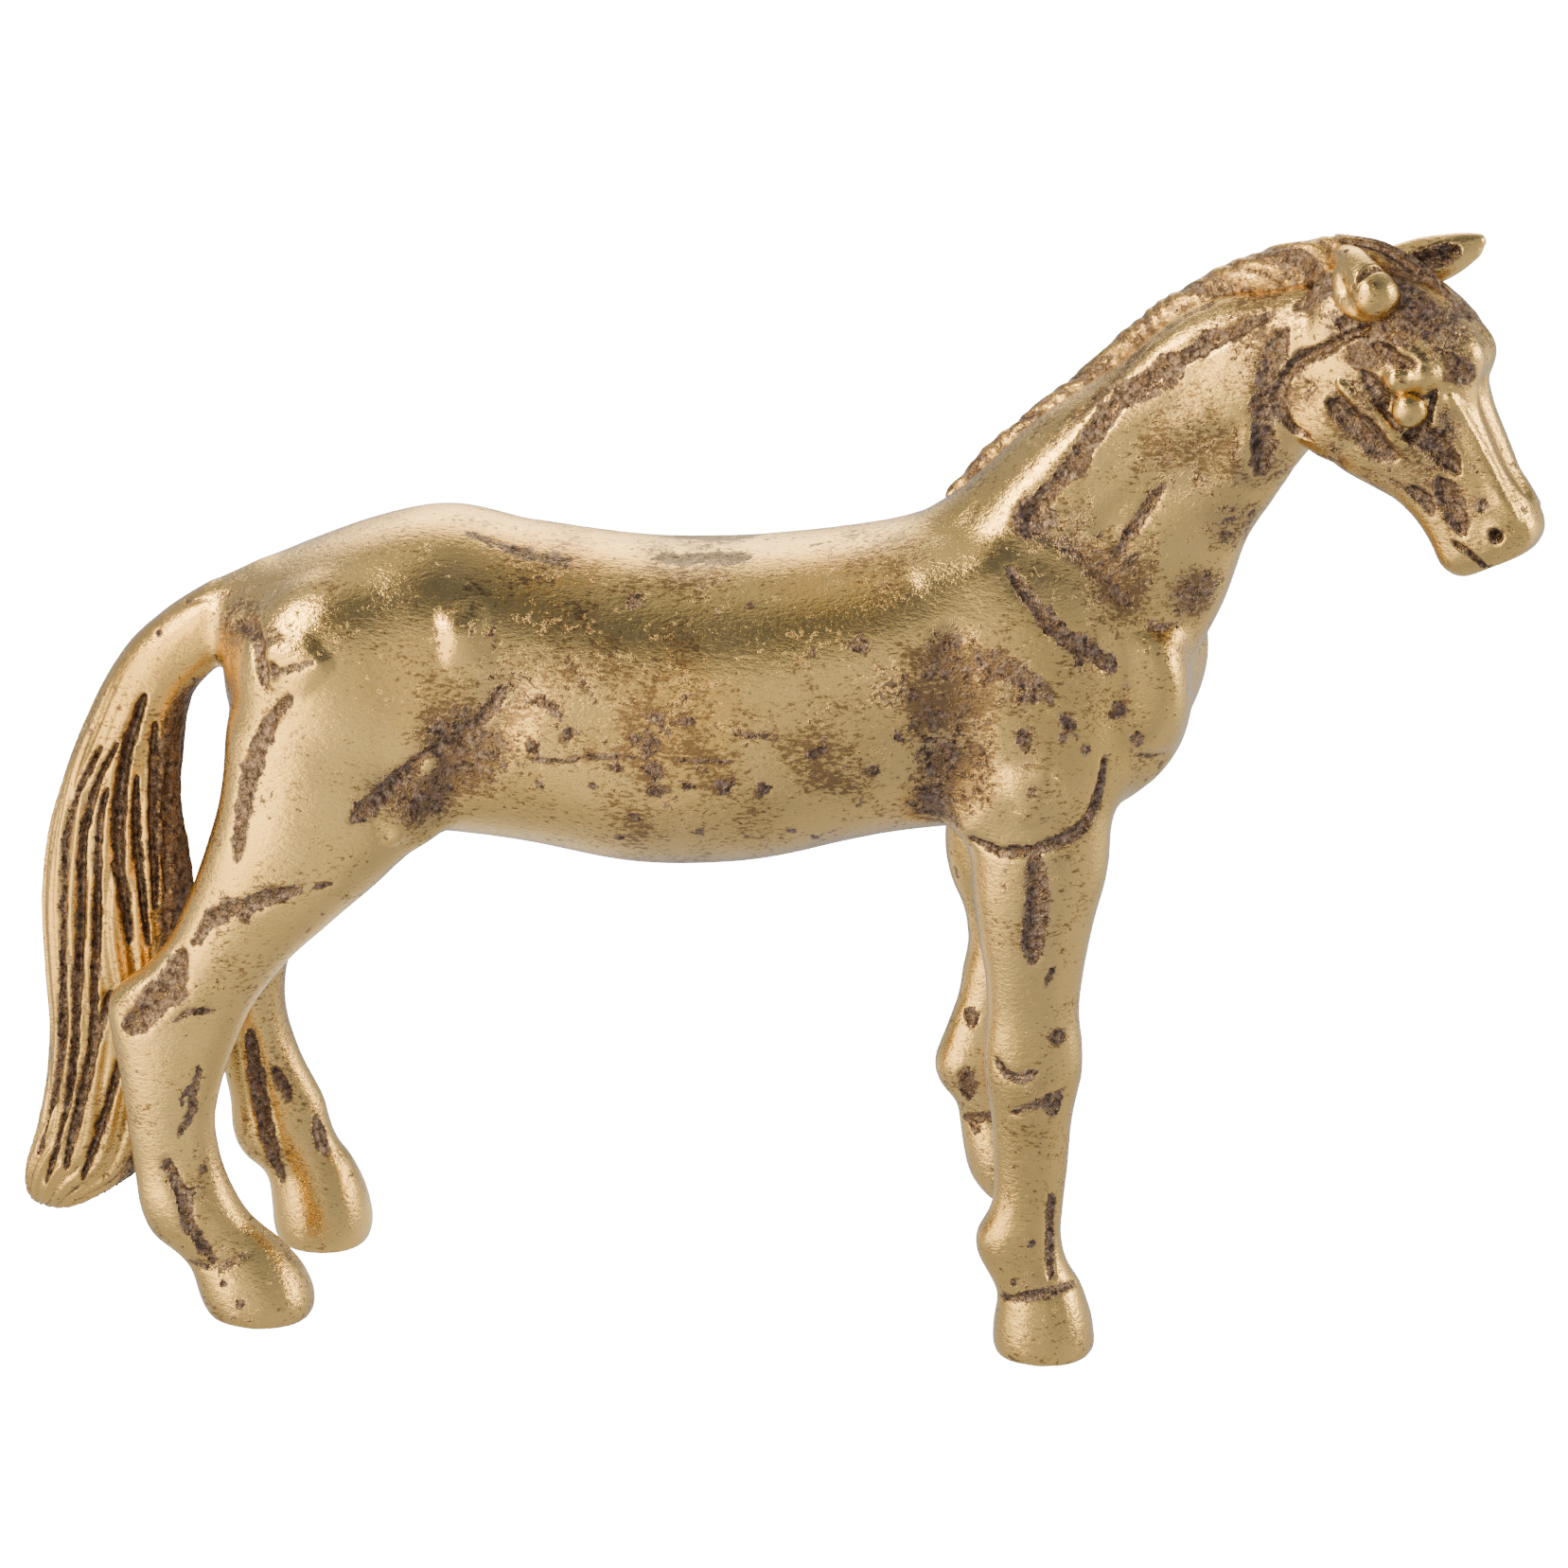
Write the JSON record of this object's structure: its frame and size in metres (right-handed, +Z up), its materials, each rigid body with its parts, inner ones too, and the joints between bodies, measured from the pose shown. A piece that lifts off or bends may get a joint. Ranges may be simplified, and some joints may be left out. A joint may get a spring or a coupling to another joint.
{
  "type": "horse figurine",
  "caption": "Small solid cast brass horse standing on its hooves with one foreleg lifted, head turned to the side and a long tail.",
  "frame": {"origin": "on the floor, under the middle of the horse's outline", "axes": "+X towards the head, +Y towards the horse's left, +Z up"},
  "size_m": [0.0652, 0.014, 0.0487],
  "materials": {
    "polished_brass": "satin polished, with dark patina left in the hollows",
    "antiqued_brass": "satin, darkened between the locks of hair"
  },
  "bodies": {
    "root": {"body": "polished_brass", "head": "polished_brass", "right_ear": "polished_brass", "left_ear": "polished_brass", "right_eye": "polished_brass", "left_eye": "polished_brass", "right_foreleg": "polished_brass", "left_foreleg": "polished_brass", "right_hindleg": "polished_brass", "left_hindleg": "polished_brass", "right_fore_hoof": "polished_brass", "left_fore_hoof": "polished_brass", "right_hind_hoof": "polished_brass", "left_hind_hoof": "polished_brass", "mane": "antiqued_brass", "forelock": "antiqued_brass", "tail": "antiqued_brass"}
  },
  "joints": []
}
